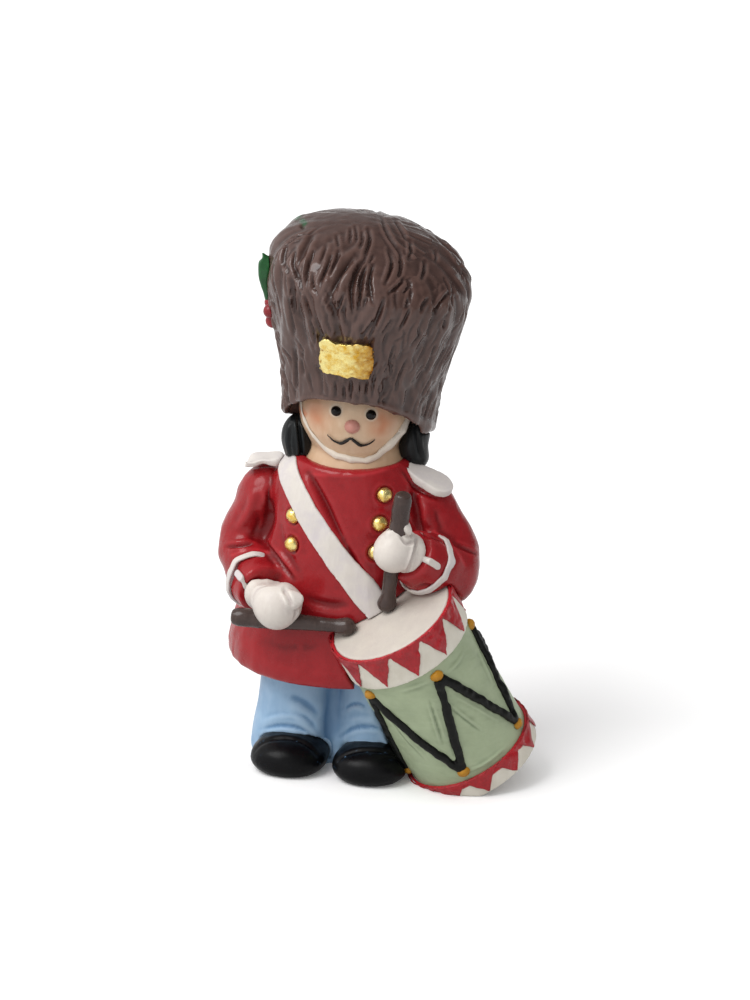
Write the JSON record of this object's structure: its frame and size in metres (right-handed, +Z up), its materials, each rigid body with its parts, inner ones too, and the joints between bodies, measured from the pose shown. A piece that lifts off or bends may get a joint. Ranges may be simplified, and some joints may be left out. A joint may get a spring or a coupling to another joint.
{
  "type": "toy soldier figurine",
  "caption": "Standing painted figurine of a drummer guardsman with a tall fur cap, a long coat, drumsticks and a leaning side drum, made to stand on a shelf.",
  "frame": {"origin": "on the ground, under the middle of the whole figure's box", "axes": "+Z up, the figure faces -Y, and +X is the figure's left-hand side"},
  "size_m": [0.0618, 0.0488, 0.1049],
  "materials": {
    "cap_fur": "satin brown acrylic paint on sculpted resin",
    "gold_leaf": "crinkled gold leaf laid on resin",
    "green_paint": "dark green acrylic paint",
    "berry_paint": "dark red gloss paint",
    "skin_paint": "matt flesh paint with blushed cheeks",
    "nose_paint": "matt pink paint",
    "black_gloss": "gloss black paint",
    "black_satin": "satin black paint",
    "white_paint": "off-white acrylic paint",
    "coat_red": "crimson acrylic paint with a dark wash in the folds",
    "trouser_blue": "pale blue acrylic paint with a dark wash in the folds",
    "stick_brown": "satin brown paint",
    "drum_green": "grey-green acrylic paint",
    "cream_paint": "cream acrylic paint",
    "triangle_red": "red acrylic paint with dark edges",
    "cord_paint": "black paint",
    "mustard_paint": "mustard paint",
    "dowel_wood": "plain birch"
  },
  "bodies": {
    "root": {"bearskin_cap": "cap_fur", "cap_plate": "gold_leaf", "holly_leaves": "green_paint", "holly_berries": "berry_paint", "head": "skin_paint", "nose": "nose_paint", "eyes": "black_gloss", "moustache": "black_satin", "chin_strap": "white_paint", "right_hair_lock": "black_satin", "left_hair_lock": "black_satin", "coat": "coat_red", "right_sleeve": "coat_red", "left_sleeve": "coat_red", "right_cuff_braid": "white_paint", "left_cuff_braid": "white_paint", "right_cuff_tab": "white_paint", "left_cuff_tab": "white_paint", "right_glove": "white_paint", "left_glove": "white_paint", "right_drumstick": "stick_brown", "left_drumstick": "stick_brown", "right_shoulder_strap": "white_paint", "left_shoulder_strap": "white_paint", "drum_sling": "white_paint", "right_coat_buttons": "gold_leaf", "left_coat_buttons": "gold_leaf", "trousers": "trouser_blue", "right_boot": "black_satin", "left_boot": "black_satin", "drum_shell": "drum_green", "batter_head": "cream_paint", "bottom_head": "cream_paint", "upper_hoop": "cream_paint", "lower_hoop": "cream_paint", "upper_hoop_triangles": "triangle_red", "lower_hoop_triangles": "triangle_red", "drum_cords": "cord_paint", "upper_lugs": "mustard_paint", "lower_lugs": "mustard_paint", "neck_dowel": "dowel_wood", "cap_dowel": "dowel_wood", "waist_dowels": "dowel_wood", "arm_dowels": "dowel_wood", "wrist_dowels": "dowel_wood", "drum_dowel": "dowel_wood"}
  },
  "joints": []
}
